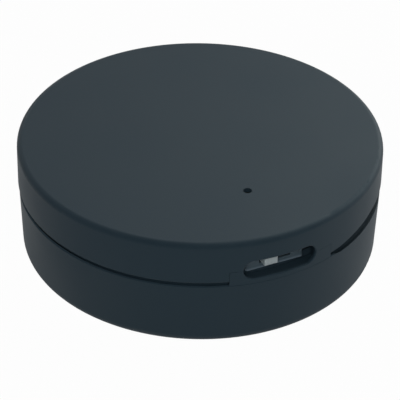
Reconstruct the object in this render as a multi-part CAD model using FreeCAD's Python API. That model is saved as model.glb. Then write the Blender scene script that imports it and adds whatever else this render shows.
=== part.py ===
import FreeCAD, Part
import math
import os

# A round wireless pick-up sensor: a black two-piece puck with a slide switch behind a slot in its side.
# Millimetres. +Z is up, the origin is the middle of the underside, and azimuths are measured from the
# front (-Y) towards +X. Pieces near the slot are drawn facing the front, then turned to their azimuth.

# Closed puck
lid_radius = 22.5
overall_height = 14.7
lid_edge_round = 0.7
lid_overhang = 0.1
base_draft = 0.33
base_edge_round = 1.2
seam_edge_round = 0.16

# Shells: plates, walls and the seam between them
floor_thickness = 1.4
lid_thickness = 1.3
seam_height = 8.68
seam_gap = 0.52
skirt_thickness = 1.0
tongue_thickness = 0.8
tongue_rise = 1.6
tongue_clearance = 0.08
seat_clearance = 0.08
rib_thickness = 0.42
rib_clearance = 0.08
rib_drop = 0.6
trench_spare = 0.15
lip_slope_share = 0.85
lip_slope_height = 0.45
corner_round = 0.8

# Raised tab of the base, which carries the lower half of the slot
tab_azimuth = 26.8
tab_span = 34.8
tab_clearance = 0.03

# Slot in the side
slot_height_above_base = 10.58
slot_width = 9.36
slot_opening = 2.48
slot_shift = -0.4
slot_edge_margin = 0.45
slot_wall = 0.45
slot_edge_round = 0.14

# Notch in the lid's lower edge, where a coin or nail parts the shells, and the dip in the base below it
notch_azimuth = 85.0
notch_span = 82.0
notch_flat_span = 36.0
notch_rise = 0.9
notch_corner = 1.6
dip_span = 79.0
dip_flat_span = 71.0
dip_depth = 0.35

# Snap beads on the tongue and their groove in the skirt
bead_height = 0.05
bead_width = 0.3
bead_span = 14.0
bead_azimuths = (118.0, 184.0, 250.0, 316.0)
groove_depth = 0.1
groove_width = 0.6

# Circuit board
board_thickness = 1.0
board_clearance = 0.7
knob_above_board = 1.4

# Slide switch
switch_depth = 2.7
switch_plate = 0.2
switch_stroke = 2.0
switch_shift = 0.13
slider_length = 4.45
slider_play = 0.1
slider_end_play = 0.35
cover_bend = 0.35
knob_recess = 1.0
knob_reach = 1.1
knob_width = 1.72
knob_height = 0.98
knob_round = 0.12
window_play = 0.2
window_lintel = 0.08
window_drop = 0.25
terminal_pitch = 1.5
terminal_width = 0.4
terminal_reach = 0.7
terminal_thickness = 0.15
wiper_thickness = 0.1
wiper_width = 0.5
wiper_channel = 0.9
channel_floor = 0.4
wiper_root_share = 0.125
wiper_dip_share = 0.25
wiper_tip_share = 0.45

# Light guide, its collar in the lid, and the pinhole above it
pinhole_radius = 0.53
pinhole_distance = 12.7
guide_radius = 1.0
guide_tip_clearance = 0.05
guide_tip_depth = 0.5
guide_clearance = 0.04
guide_led_gap = 0.15
collar_wall = 0.9
collar_length = 1.4

# Board screws and the lid's bosses
boss_inset = 2.7
boss_radius = 2.1
boss_count = 3
gusset_thickness = 0.8
gusset_depth = 2.4
screw_radius = 0.7
screw_bite = 2.8
screw_clearance = 0.2
pilot_clearance = 0.02
pilot_spare = 0.4
screw_head_radius = 1.4
screw_head_height = 0.8
recess_width = 0.35
recess_depth = 0.45
recess_share = 0.6

# Ribs in the base that stop the board from sagging
rest_count = 3
rest_width = 1.4
rest_overlap = 1.2
rest_clearance = 0.3

# Coin cell
cell_radius = 12.25
cell_height = 5.0
cell_edge_round = 0.6
cap_radius = 10.9
cap_rise = 0.35
gasket_width = 0.45
gasket_rise = 0.15
cell_board_gap = 0.7

# Coin cell holder, contacts and floor pad
holder_wall = 1.25
holder_play = 0.2
holder_plate = 0.5
holder_window_radius = 9.0
lip_reach = 0.55
lip_thickness = 0.6
lip_span = 26.0
lip_count = 3
lip_play = 0.05
finger_gap_share = 0.6
clip_width = 4.6
clip_thickness = 0.25
clip_play = 0.06
clip_foot = 2.2
clip_side_play = 0.2
clip_length = 4.4
spring_thickness = 0.2
spring_width = 4.0
spring_pad = 1.6
spring_slope = 3.0
spring_foot = 2.2
spring_play = 0.03
pad_radius = 10.0
pad_clearance = 0.3

# Parts on the board: length, width and height of each package, and its place with the slot's side as -Y
radio_size = (6.0, 6.0, 0.85)
radio_place = (-2.0, 1.0)
crystal_size = (2.5, 2.0, 0.7)
crystal_place = (3.0, 1.0)
shield_size = (11.0, 9.0, 1.6)
shield_place = (-0.4, 1.0)
shield_wall = 0.2
shield_bend = 0.3
antenna_size = (7.0, 2.0, 1.0)
antenna_inset = 2.7
antenna_turn = 120.0
accelerometer_size = (2.5, 2.5, 0.9)
accelerometer_place = (7.6, -8.0)
regulator_size = (2.9, 1.6, 1.0)
regulator_place = (-8.2, -8.6)
regulator_pitch = 0.95
regulator_leg = (0.4, 0.6, 0.2)
inductor_size = (4.0, 4.0, 1.8)
inductor_place = (-10.4, -2.0)
inductor_round = 0.5
bulk_size = (4.3, 7.3, 1.9)
bulk_place = (9.6, 1.6)
led_size = (1.6, 0.8, 0.6)
capacitor_size = (1.6, 0.8, 0.8)
capacitor_places = ((-9.0, 4.0), (-9.0, 6.2), (-5.6, 8.2), (-2.6, 8.2), (6.4, 8.2), (5.0, -5.6), (-4.4, -6.4))
resistor_size = (1.6, 0.8, 0.45)
resistor_places = ((0.6, 8.2), (3.4, 8.2), (-1.6, -6.4), (1.6, -6.4), (3.6, -11.0), (-4.6, -11.0))

# Heights and radii that follow from the sizes above
base_rim_radius = lid_radius - lid_overhang
base_foot_radius = base_rim_radius - base_draft
lid_underside = overall_height - lid_thickness
lid_rim_height = seam_height + seam_gap
tongue_top = seam_height + tongue_rise
skirt_bore = lid_radius - skirt_thickness
rib_radius = skirt_bore + rib_thickness
rib_bottom = seam_height - rib_drop
lip_bore = rib_radius + rib_clearance
lip_flat_end = base_rim_radius - seam_edge_round
lip_flat_start = lip_bore + lip_slope_share * (lip_flat_end - lip_bore)
trench_floor = rib_bottom - trench_spare
tongue_radius = skirt_bore - tongue_clearance
wall_bore = tongue_radius - tongue_thickness
board_top = slot_height_above_base - knob_above_board
board_bottom = board_top - board_thickness
board_radius = wall_bore - board_clearance
boss_distance = board_radius - boss_inset
antenna_distance = board_radius - antenna_inset
slot_azimuth = tab_azimuth + math.degrees(slot_shift / lid_radius)
bead_level = (lid_rim_height + tongue_top) / 2
knob_front = lid_radius - knob_recess
switch_front = knob_front - knob_reach
switch_back = switch_front - switch_depth
switch_length = slider_length + switch_stroke + 2 * (slider_end_play + switch_plate)
knob_low = slot_height_above_base - knob_height / 2
knob_high = slot_height_above_base + knob_height / 2
slider_floor = knob_low - slider_play
switch_top = knob_high + slider_play + switch_plate
cell_top = board_bottom - cell_board_gap
cell_bottom = cell_top - cell_height
can_top = cell_top - cap_rise
cell_seat = can_top - cap_rise
holder_bore = cell_radius + holder_play
holder_radius = holder_bore + holder_wall
through = 2.0


def turned(shape, azimuth):
    """Turn a shape that faces the front round the puck's axis to an azimuth."""
    return shape.copy().rotated(FreeCAD.Vector(0, 0, 0), FreeCAD.Vector(0, 0, 1), azimuth)


def moved(shape, x, y, z):
    return shape.translated(FreeCAD.Vector(x, y, z))


def block(length, width, height, x, y, z):
    """A box centred on x and y that stands on height z."""
    return Part.makeBox(length, width, height, FreeCAD.Vector(x - length / 2, y - width / 2, z))


def cylinder(radius, low, high):
    return Part.makeCylinder(radius, high - low, FreeCAD.Vector(0, 0, low))


def ring(outer, inner, low, high):
    return cylinder(outer, low, high).cut(cylinder(inner, low - through, high + through))


def arc_ring(outer, inner, low, high, span, azimuth):
    """Part of a ring, span degrees long, with its middle at an azimuth."""
    wedge = Part.makeCylinder(
        outer, high - low, FreeCAD.Vector(0, 0, low), FreeCAD.Vector(0, 0, 1), span
    )
    wedge = wedge.cut(cylinder(inner, low - through, high + through))
    return turned(wedge, azimuth - 90 - span / 2)


def revolved(points):
    """A solid of revolution from (radius, height) corners."""
    corners = [FreeCAD.Vector(radius, 0, height) for radius, height in points]
    outline = Part.makePolygon(corners + corners[:1])
    return Part.Face(outline).revolve(FreeCAD.Vector(0, 0, 0), FreeCAD.Vector(0, 0, 1), 360)


def plate_along_y(points, low, high):
    """A flat outline in X and Z, given its thickness along Y."""
    corners = [FreeCAD.Vector(x, low, z) for x, z in points]
    outline = Part.makePolygon(corners + corners[:1])
    return Part.Face(outline).extrude(FreeCAD.Vector(0, high - low, 0))


def circle_edges(shape, radius, height):
    """The circular edges of a shape at a radius round the axis and at a height."""
    found = []
    for edge in shape.Edges:
        curve = edge.Curve
        if not isinstance(curve, Part.Circle):
            continue
        on_axis = math.hypot(curve.Center.x, curve.Center.y) < 0.001
        if on_axis and abs(curve.Radius - radius) < 0.001 and abs(curve.Center.z - height) < 0.001:
            found.append(edge)
    return found


def upright_edges(shape):
    """The straight edges that run along Z."""
    found = []
    for edge in shape.Edges:
        box = edge.BoundBox
        if box.XLength < 0.001 and box.YLength < 0.001 and box.ZLength > 0.001:
            found.append(edge)
    return found


def slot_cutter():
    """The slot's rounded opening, driven in through the wall."""
    half = slot_opening / 2
    straight = slot_width - slot_opening
    depth_in = lid_radius - wall_bore + through
    middle = block(straight, depth_in + through, slot_opening, 0, 0, -half)
    ends = []
    for side in (-1, 1):
        end = Part.makeCylinder(
            half,
            depth_in + through,
            FreeCAD.Vector(side * straight / 2, -(depth_in + through) / 2, 0),
            FreeCAD.Vector(0, 1, 0),
        )
        ends.append(end)
    opening = middle.fuse(ends).removeSplitter()
    centre = -(lid_radius + through - (depth_in + through) / 2)
    return turned(moved(opening, 0, centre, slot_height_above_base), slot_azimuth)


def with_soft_slot(shell):
    """Round the slot's outer edges, the only ones on the lid's radius within the slot's own box."""
    edges = []
    straightened = turned(shell, -slot_azimuth)
    for edge in straightened.Edges:
        samples = edge.discretize(5)
        outside = all(abs(math.hypot(point.x, point.y) - lid_radius) < 0.002 for point in samples)
        across = all(abs(point.x) < slot_width / 2 + 0.01 and point.y < 0 for point in samples)
        level = all(abs(point.z - slot_height_above_base) < slot_opening / 2 + 0.01 for point in samples)
        if outside and across and level:
            edges.append(edge)
    return turned(straightened.makeFillet(slot_edge_round, edges), slot_azimuth)


def switch_pocket():
    """Room inside the wall for the switch, which leaves a thin wall round the slot."""
    width = slot_width + 2 * slot_edge_margin
    low = slot_height_above_base - slot_opening / 2 - slot_edge_margin
    high = slot_height_above_base + slot_opening / 2 + slot_edge_margin
    reach = lid_radius - switch_back
    room = block(width, reach, high - low, 0, -switch_back - reach / 2, low)
    return turned(room.common(cylinder(lid_radius - slot_wall, low, high)), slot_azimuth)


def tab_zone(clearance):
    """The stretch of wall that the base's tab fills, opened by a clearance on its free sides."""
    past = through if clearance else 0
    low = seam_height - past
    high = slot_height_above_base + clearance
    extra = math.degrees(2 * clearance / lid_radius)
    outer = lid_radius + past
    inner = wall_bore - past
    return arc_ring(outer, inner, low, high, tab_span + extra, tab_azimuth)


def tab_foot():
    """The solid stretch under the tab, where the trench behind the base's lip is left out."""
    outer = (lip_flat_start + lip_flat_end) / 2
    inner = tongue_radius - tongue_thickness / 2
    return arc_ring(outer, inner, trench_floor, seam_height, tab_span, tab_azimuth)


def base_shell():
    """The lower cup: wall with a dipped lip, trench and tongue, tab with half the slot, rests and beads."""
    cup = revolved([
        (0, 0),
        (base_foot_radius, 0),
        (base_rim_radius, seam_height),
        (lip_flat_start, seam_height),
        (lip_bore, seam_height - lip_slope_height),
        (lip_bore, trench_floor),
        (tongue_radius, trench_floor),
        (tongue_radius, tongue_top),
        (wall_bore, tongue_top),
        (wall_bore, floor_thickness),
        (0, floor_thickness),
    ])
    cup = cup.makeFillet(base_edge_round, circle_edges(cup, base_foot_radius, 0))
    cup = cup.makeFillet(seam_edge_round, circle_edges(cup, base_rim_radius, seam_height))
    cup = cup.makeFillet(corner_round, circle_edges(cup, wall_bore, floor_thickness))
    cup = cup.fuse([tab_zone(0), tab_foot()] + board_rests() + snap_beads())
    return with_soft_slot(cup.cut([slot_cutter(), switch_pocket(), rim_dip()]))


def half_chord(span):
    """Half the straight width of an arc of the puck's side, from its angle."""
    return lid_radius * math.sin(math.radians(span / 2))


def rim_dip():
    """The shallow dip in the base's lip under the lid's notch, cut in from outside as far as the tongue."""
    top = seam_height + seam_gap / 2
    low = seam_height - dip_depth
    half = half_chord(dip_span)
    flat = half_chord(dip_flat_span)
    left = [(-half, top), (-half, seam_height), (-flat, low)]
    right = [(-x, z) for x, z in reversed(left)]
    dip = plate_along_y(left + right, -(lid_radius + through), 0)
    inside = cylinder(tongue_radius, low - through, top + through)
    return turned(dip.cut(inside), notch_azimuth)


def board_rests():
    """Ribs on the wall whose tops stand just under the board's edge."""
    rests = []
    reach = board_clearance + rest_overlap
    root = tongue_thickness / 2
    low = floor_thickness / 2
    top = board_bottom - rest_clearance
    for index in range(rest_count):
        middle = -(wall_bore + (root - reach) / 2)
        rib = block(rest_width, reach + root, top - low, 0, middle, low)
        rests.append(turned(rib, slot_azimuth + index * 360 / rest_count))
    return rests


def snap_beads():
    beads = []
    for azimuth in bead_azimuths:
        bead = arc_ring(
            tongue_radius + bead_height,
            tongue_radius - tongue_thickness / 2,
            bead_level - bead_width / 2,
            bead_level + bead_width / 2,
            bead_span,
            tab_azimuth + azimuth,
        )
        beads.append(bead)
    return beads


def boss_azimuths():
    return [tab_azimuth + 180 / boss_count + index * 360 / boss_count for index in range(boss_count)]


def lid_bosses():
    """Screw bosses hanging from the lid to the board, each with a gusset to the wall."""
    bosses = []
    for azimuth in boss_azimuths():
        post = cylinder(boss_radius, board_top, lid_underside + lid_thickness / 2)
        length = wall_bore - boss_distance + tongue_thickness / 2
        gusset = block(
            gusset_thickness,
            length,
            gusset_depth + lid_thickness / 2,
            0,
            -boss_distance - length / 2,
            lid_underside - gusset_depth,
        )
        boss = moved(post, 0, -boss_distance, 0).fuse(gusset)
        bosses.append(turned(boss, azimuth))
    return bosses


def boss_pilots():
    pilots = []
    for azimuth in boss_azimuths():
        top = board_top + screw_bite + pilot_spare
        hole = cylinder(screw_radius + pilot_clearance, board_top - through, top)
        pilots.append(turned(moved(hole, 0, -boss_distance, 0), azimuth))
    return pilots


def pry_notch():
    """The long shallow notch in the lid's lower edge, as a rounded wedge driven in through the skirt."""
    low = lid_rim_height - through
    top = lid_rim_height + notch_rise
    flat = half_chord(notch_flat_span)
    foot = flat + (half_chord(notch_span) - flat) * (through + notch_rise) / notch_rise
    outline = [(-foot, low), (foot, low), (flat, top), (-flat, top)]
    wedge = plate_along_y(outline, -(lid_radius + through), 0)
    corners = []
    for edge in wedge.Edges:
        box = edge.BoundBox
        if box.ZLength < 0.001 and box.XLength < 0.001 and abs(box.ZMin - top) < 0.001:
            corners.append(edge)
    wedge = wedge.makeFillet(notch_corner, corners)
    inside = cylinder(tongue_radius, low - through, top + through)
    return turned(wedge.cut(inside), notch_azimuth)


def lid_shell():
    """The upper cap: plate, skirt over the tongue, rib in the trench, bosses, guide collar, notch, slot."""
    step = tongue_top + seat_clearance
    cap = revolved([
        (0, overall_height),
        (lid_radius, overall_height),
        (lid_radius, lid_rim_height),
        (rib_radius, lid_rim_height),
        (rib_radius, rib_bottom),
        (skirt_bore, rib_bottom),
        (skirt_bore, step),
        (wall_bore, step),
        (wall_bore, lid_underside),
        (0, lid_underside),
    ])
    cap = cap.makeFillet(lid_edge_round, circle_edges(cap, lid_radius, overall_height))
    cap = cap.makeFillet(seam_edge_round, circle_edges(cap, lid_radius, lid_rim_height))
    cap = cap.makeFillet(corner_round, circle_edges(cap, wall_bore, lid_underside))
    collar = cylinder(
        guide_radius + guide_clearance + collar_wall,
        lid_underside - collar_length,
        lid_underside + lid_thickness / 2,
    )
    collar = turned(moved(collar, 0, -pinhole_distance, 0), tab_azimuth)
    cap = cap.fuse(lid_bosses() + [collar])
    guide_foot = lid_underside - collar_length - through
    guide_bore = cylinder(guide_radius + guide_clearance, guide_foot, lid_underside)
    pinhole = cylinder(pinhole_radius, lid_underside - through, overall_height + through)
    holes = turned(moved(guide_bore.fuse(pinhole), 0, -pinhole_distance, 0), tab_azimuth)
    groove = ring(
        skirt_bore + groove_depth,
        skirt_bore - through,
        bead_level - groove_width / 2,
        bead_level + groove_width / 2,
    )
    cutters = [tab_zone(tab_clearance), slot_cutter(), switch_pocket(), pry_notch(), holes, groove]
    return with_soft_slot(cap.cut(cutters + boss_pilots()))


def light_guide():
    """A clear rod over the status light, with a thin tip standing in the pinhole."""
    foot = board_top + led_size[2] + guide_led_gap
    rod = cylinder(guide_radius, foot, lid_underside)
    tip = cylinder(pinhole_radius - guide_tip_clearance, foot, overall_height - guide_tip_depth)
    return turned(moved(rod.fuse(tip).removeSplitter(), 0, -pinhole_distance, 0), tab_azimuth)


def circuit_board():
    """The round board with its three screw holes."""
    board = cylinder(board_radius, board_bottom, board_top)
    holes = []
    for azimuth in boss_azimuths():
        hole = cylinder(screw_radius + screw_clearance, board_bottom - through, board_top + through)
        holes.append(turned(moved(hole, 0, -boss_distance, 0), azimuth))
    return board.cut(holes)


def board_screws():
    """Cross-recessed screws driven up through the board into the lid's bosses."""
    screws = []
    for azimuth in boss_azimuths():
        shank = cylinder(screw_radius, board_bottom - screw_head_height / 2, board_top + screw_bite)
        head = cylinder(screw_head_radius, board_bottom - screw_head_height, board_bottom)
        screw = shank.fuse(head).removeSplitter()
        low = board_bottom - screw_head_height - through
        high = board_bottom - screw_head_height + recess_depth
        span = 2 * recess_share * screw_head_radius
        cross = block(span, recess_width, high - low, 0, 0, low).fuse(
            block(recess_width, span, high - low, 0, 0, low)
        )
        screws.append(turned(moved(screw.cut(cross), 0, -boss_distance, 0), azimuth))
    return Part.makeCompound(screws)


def at_slot(shape):
    """Place a shape that was drawn facing the front behind the slot, a little to the slot's right."""
    return turned(moved(shape, switch_shift, 0, 0), slot_azimuth)


def switch_body():
    """The black plastic block of the switch, with a channel for its wiper."""
    length = switch_length - 2 * switch_plate
    depth = switch_depth - switch_plate
    middle = -(switch_back + depth / 2)
    body = block(length, depth, slider_floor - board_top, 0, middle, board_top)
    channel_length = slider_length + switch_stroke
    channel = block(channel_length, wiper_channel, through, 0, middle, board_top + channel_floor)
    back_height = switch_top - switch_plate - slider_floor
    back = block(length, switch_plate, back_height, 0, -(switch_back + switch_plate / 2), slider_floor)
    return at_slot(body.cut(channel).fuse(back).removeSplitter())


def switch_cover():
    """The folded steel frame over the switch, with a window that the knob slides in."""
    middle = -(switch_back + switch_depth / 2)
    height = switch_top - board_top
    inside = switch_length - 2 * switch_plate
    outer = block(switch_length, switch_depth, height, 0, middle, board_top)
    inner = block(inside, switch_depth, height - switch_plate, 0, middle + switch_plate, board_top)
    window_length = switch_stroke + knob_width + 2 * window_play
    window_height = window_drop + knob_height + window_lintel
    window = block(window_length, 4 * switch_plate, window_height, 0, -switch_front, knob_low - window_drop)
    cover = outer.cut([inner, window])
    folded = []
    for edge in upright_edges(cover):
        box = edge.BoundBox
        if abs(abs(box.XMin) - switch_length / 2) < 0.001 and box.YMin < -(switch_front - 0.001):
            folded.append(edge)
    return at_slot(cover.makeFillet(cover_bend, folded))


def switch_knob():
    """The light slider: a block inside the switch and the knob that reaches into the slot."""
    slider_back = switch_back + switch_plate + 2 * slider_play
    slider_front = switch_front - switch_plate - slider_play
    middle = -(slider_back + slider_front) / 2
    slider = block(slider_length, slider_front - slider_back, knob_height, 0, middle, knob_low)
    knob_depth = knob_front - slider_front
    knob = block(knob_width, knob_depth, knob_height, 0, -(knob_front - knob_depth / 2), knob_low)
    ends = []
    for edge in knob.Edges:
        if edge.BoundBox.YMax < -(knob_front - 0.001):
            ends.append(edge)
    knob = knob.makeFillet(knob_round, ends)
    return at_slot(moved(slider.fuse(knob).removeSplitter(), -switch_stroke / 2, 0, 0))


def switch_wiper():
    """The bronze leaf under the slider, which bridges the switch's contacts."""
    root = wiper_root_share * slider_length
    dip = wiper_dip_share * slider_length
    tip = wiper_tip_share * slider_length
    top = knob_low
    bottom = board_top + channel_floor + slider_play / 2
    t = wiper_thickness
    outline = [
        (-root, top), (-dip, bottom + t), (-tip, top - t / 2),
        (-tip, top - 3 * t / 2), (-dip, bottom), (-root, top - t),
        (root, top - t), (dip, bottom), (tip, top - 3 * t / 2),
        (tip, top - t / 2), (dip, bottom + t), (root, top),
    ]
    middle = -(switch_back + (switch_depth - switch_plate) / 2)
    wiper = plate_along_y(outline, middle - wiper_width / 2, middle + wiper_width / 2)
    return at_slot(moved(wiper, -switch_stroke / 2, 0, 0))


def switch_terminals():
    """Three tinned legs that fold from the block's back onto the board."""
    legs = []
    for index in (-1, 0, 1):
        x = index * terminal_pitch
        foot = block(
            terminal_width, terminal_reach, terminal_thickness,
            x, -(switch_back - terminal_reach / 2), board_top,
        )
        riser = block(
            terminal_width, terminal_thickness, 4 * terminal_thickness,
            x, -(switch_back - terminal_thickness / 2), board_top,
        )
        legs.append(foot.fuse(riser).removeSplitter())
    return at_slot(Part.makeCompound(legs))


def coin_cell_can():
    """The cell's steel can, drawn with its sealed contents as one body, with a seat for gasket and cap."""
    can = cylinder(cell_radius, cell_bottom, can_top)
    can = can.makeFillet(cell_edge_round, circle_edges(can, cell_radius, cell_bottom))
    can = can.makeFillet(cell_edge_round / 2, circle_edges(can, cell_radius, can_top))
    return can.cut(cylinder(cap_radius + gasket_width, cell_seat, cell_top))


def coin_cell_gasket():
    """The dark ring that keeps the cell's two poles apart."""
    return ring(cap_radius + gasket_width, cap_radius, cell_seat, can_top + gasket_rise)


def coin_cell_cap():
    """The cell's negative cap, which faces the board."""
    cap = cylinder(cap_radius, cell_seat, cell_top)
    return cap.makeFillet(cap_rise / 2, circle_edges(cap, cap_radius, cell_top))


def battery_holder():
    """The cell's plastic holder under the board: wall, plate, lips under the cell, and slot for the clip."""
    low = cell_bottom - lip_play - lip_thickness
    wall = ring(holder_radius, holder_bore, low, board_bottom)
    plate = ring(holder_radius, holder_window_radius, board_bottom - holder_plate, board_bottom)
    lips = []
    for index in range(lip_count):
        lip = arc_ring(
            holder_bore + holder_wall / 2,
            cell_radius - lip_reach,
            low,
            low + lip_thickness,
            lip_span,
            tab_azimuth + 180 / lip_count + index * 360 / lip_count,
        )
        lips.append(lip)
    holder = wall.fuse([plate] + lips)
    room = block(
        clip_width + 2 * clip_side_play,
        holder_radius,
        board_bottom - low + 2 * through,
        0,
        -(holder_bore + holder_radius / 2 - holder_wall),
        low - through,
    )
    room = room.cut(cylinder(holder_bore - holder_wall, low - 2 * through, board_bottom + 2 * through))
    gap_height = finger_gap_share * cell_height
    finger_gap = block(holder_radius, holder_radius, gap_height, 0, holder_radius, low - through)
    around = ring(holder_radius + through, cell_radius - 2 * lip_reach, low - through, cell_top)
    finger_gap = finger_gap.common(around)
    return holder.cut([turned(room, tab_azimuth + 90), turned(finger_gap, tab_azimuth + 90)])


def cell_clip():
    """The positive contact: a spring strip against the can's side, with a foot on the board."""
    inner = cell_radius + clip_play
    strip = block(
        clip_width, clip_thickness, clip_length, 0, -(inner + clip_thickness / 2), board_bottom - clip_length
    )
    foot = block(
        clip_width, clip_foot, clip_thickness, 0, -(inner + clip_foot / 2), board_bottom - clip_thickness
    )
    return turned(strip.fuse(foot).removeSplitter(), tab_azimuth + 90)


def cell_spring():
    """The negative contact: a spring bridge from two feet on the board down to the cell's cap."""
    pad_x = spring_pad / 2
    bend_x = pad_x + spring_slope
    end_x = bend_x + spring_foot
    high = board_bottom
    low = cell_top + spring_play
    t = spring_thickness
    left = [(-end_x, high), (-bend_x, high), (-pad_x, low + t)]
    upper = left + [(-x, z) for x, z in reversed(left)]
    lower = [(x, z - t) for x, z in reversed(upper)]
    outline = upper + lower
    return turned(plate_along_y(outline, -spring_width / 2, spring_width / 2), tab_azimuth)


def cell_pad():
    """The foam disc on the floor under the cell."""
    return cylinder(pad_radius, floor_thickness, cell_bottom - pad_clearance)


def on_board(shape):
    """Stand a shape, drawn round the axis with its foot at zero, on the board."""
    return turned(moved(shape, 0, 0, board_top), tab_azimuth)


def package(size, place):
    return block(size[0], size[1], size[2], place[0], place[1], 0)


def radio_chip():
    return on_board(package(radio_size, radio_place))


def crystal():
    return on_board(package(crystal_size, crystal_place))


def shield_can():
    """The folded steel can over the radio and its crystal."""
    length, width, height = shield_size
    outer = package(shield_size, shield_place)
    outer = outer.makeFillet(shield_bend, upright_edges(outer))
    inner_size = (length - 2 * shield_wall, width - 2 * shield_wall, height - shield_wall)
    return on_board(outer.cut(package(inner_size, shield_place)))


def chip_antenna():
    """The ceramic antenna at the board's edge."""
    bar = package(antenna_size, (0, -antenna_distance))
    return turned(moved(bar, 0, 0, board_top), tab_azimuth + antenna_turn)


def accelerometer():
    """The motion sensor that notices a lift."""
    return on_board(package(accelerometer_size, accelerometer_place))


def voltage_regulator():
    """The regulator: a moulded body on five legs."""
    length, width, height = regulator_size
    leg_width, leg_length, leg_height = regulator_leg
    body = block(length, width, height - leg_height, 0, 0, leg_height)
    legs = []
    for step, side in ((-1, 1), (0, 1), (1, 1), (-1, -1), (1, -1)):
        reach = width / 2 + leg_length / 2 - leg_height
        legs.append(block(leg_width, leg_length, leg_height, step * regulator_pitch, side * reach, 0))
    chip = body.fuse(legs).removeSplitter()
    return on_board(moved(chip, regulator_place[0], regulator_place[1], 0))


def power_inductor():
    """The square shielded coil of the supply."""
    coil = package(inductor_size, inductor_place)
    return on_board(coil.makeFillet(inductor_round, upright_edges(coil)))


def bulk_capacitor():
    """The large capacitor that carries the radio's bursts."""
    return on_board(package(bulk_size, bulk_place))


def status_light():
    """The light under the guide."""
    return on_board(package(led_size, (0, -pinhole_distance)))


def capacitors():
    return Part.makeCompound([on_board(package(capacitor_size, place)) for place in capacitor_places])


def resistors():
    return Part.makeCompound([on_board(package(resistor_size, place)) for place in resistor_places])


parts = {
    "base_shell": base_shell,
    "lid_shell": lid_shell,
    "light_guide": light_guide,
    "circuit_board": circuit_board,
    "board_screws": board_screws,
    "switch_body": switch_body,
    "switch_cover": switch_cover,
    "switch_knob": switch_knob,
    "switch_wiper": switch_wiper,
    "switch_terminals": switch_terminals,
    "coin_cell_can": coin_cell_can,
    "coin_cell_gasket": coin_cell_gasket,
    "coin_cell_cap": coin_cell_cap,
    "battery_holder": battery_holder,
    "cell_clip": cell_clip,
    "cell_spring": cell_spring,
    "cell_pad": cell_pad,
    "radio_chip": radio_chip,
    "crystal": crystal,
    "shield_can": shield_can,
    "chip_antenna": chip_antenna,
    "accelerometer": accelerometer,
    "voltage_regulator": voltage_regulator,
    "power_inductor": power_inductor,
    "bulk_capacitor": bulk_capacitor,
    "status_light": status_light,
    "capacitors": capacitors,
    "resistors": resistors,
}

os.makedirs("parts", exist_ok=True)
for name, make in parts.items():
    shape = make()
    shape.exportStep(os.path.join("parts", name + ".step"))
    print(name, "solids", len(shape.Solids), "valid", shape.isValid(), "volume", round(shape.Volume, 3))
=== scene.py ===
import math
import random

import bmesh
import bpy
from mathutils import Matrix, Quaternion, Vector


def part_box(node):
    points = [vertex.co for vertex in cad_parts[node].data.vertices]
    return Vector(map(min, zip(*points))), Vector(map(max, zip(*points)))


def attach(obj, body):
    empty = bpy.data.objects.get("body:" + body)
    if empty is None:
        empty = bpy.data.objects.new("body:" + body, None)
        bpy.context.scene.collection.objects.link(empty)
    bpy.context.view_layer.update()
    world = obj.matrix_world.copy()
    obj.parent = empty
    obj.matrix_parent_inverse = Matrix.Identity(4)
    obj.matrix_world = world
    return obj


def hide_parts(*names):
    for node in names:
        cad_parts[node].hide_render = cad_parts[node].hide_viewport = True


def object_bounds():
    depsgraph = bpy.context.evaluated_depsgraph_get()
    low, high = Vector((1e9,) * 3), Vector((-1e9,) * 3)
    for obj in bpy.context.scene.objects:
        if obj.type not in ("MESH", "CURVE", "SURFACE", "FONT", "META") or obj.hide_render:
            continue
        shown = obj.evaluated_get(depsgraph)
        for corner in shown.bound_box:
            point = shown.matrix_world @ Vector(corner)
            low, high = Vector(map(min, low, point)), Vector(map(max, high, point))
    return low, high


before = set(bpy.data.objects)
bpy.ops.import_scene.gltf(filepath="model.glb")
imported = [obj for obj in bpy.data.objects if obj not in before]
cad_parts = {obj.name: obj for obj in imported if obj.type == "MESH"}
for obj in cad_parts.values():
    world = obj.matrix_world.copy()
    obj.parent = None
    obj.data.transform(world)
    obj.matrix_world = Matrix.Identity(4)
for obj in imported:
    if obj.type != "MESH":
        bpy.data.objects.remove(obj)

cad_low, cad_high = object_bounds()

# The camera stands about 0.28 m from the puck, in front of it and 35 degrees above, with a long lens, and
# leans a little about its own axis, as in the photograph.
camera_elevation = math.radians(35.0)
camera_distance = 0.2843
camera_lean = math.radians(0.943)
lens_length = 205.2
sensor_width = 36.0
nearest_seen = 0.02
furthest_seen = 20.0
aim_right = 0.0001
aim_down = 0.001775
puck_middle = Vector((0, 0, (cad_low.z + cad_high.z) / 2))
towards_camera = Vector((0, -math.cos(camera_elevation), math.sin(camera_elevation)))
camera_up = Vector((0, math.sin(camera_elevation), math.cos(camera_elevation)))
camera_place = puck_middle + towards_camera * camera_distance
aim = puck_middle + Vector((aim_right, 0, 0)) - camera_up * aim_down


def placed(name, data):
    """A new object in the scene, at the origin."""
    item = bpy.data.objects.new(name, data)
    bpy.context.scene.collection.objects.link(item)
    return item


camera_data = bpy.data.cameras.new("photo camera")
camera_data.lens = lens_length
camera_data.sensor_width = sensor_width
camera_data.clip_start = nearest_seen
camera_data.clip_end = furthest_seen
camera = placed("photo camera", camera_data)
camera.rotation_mode = "QUATERNION"
camera.location = camera_place
level_turn = (camera_place - aim).to_track_quat("Z", "Y")
camera.rotation_quaternion = level_turn @ Quaternion((0, 0, 1), camera_lean)
bpy.context.scene.camera = camera
bpy.context.scene.view_settings.view_transform = "Standard"

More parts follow.
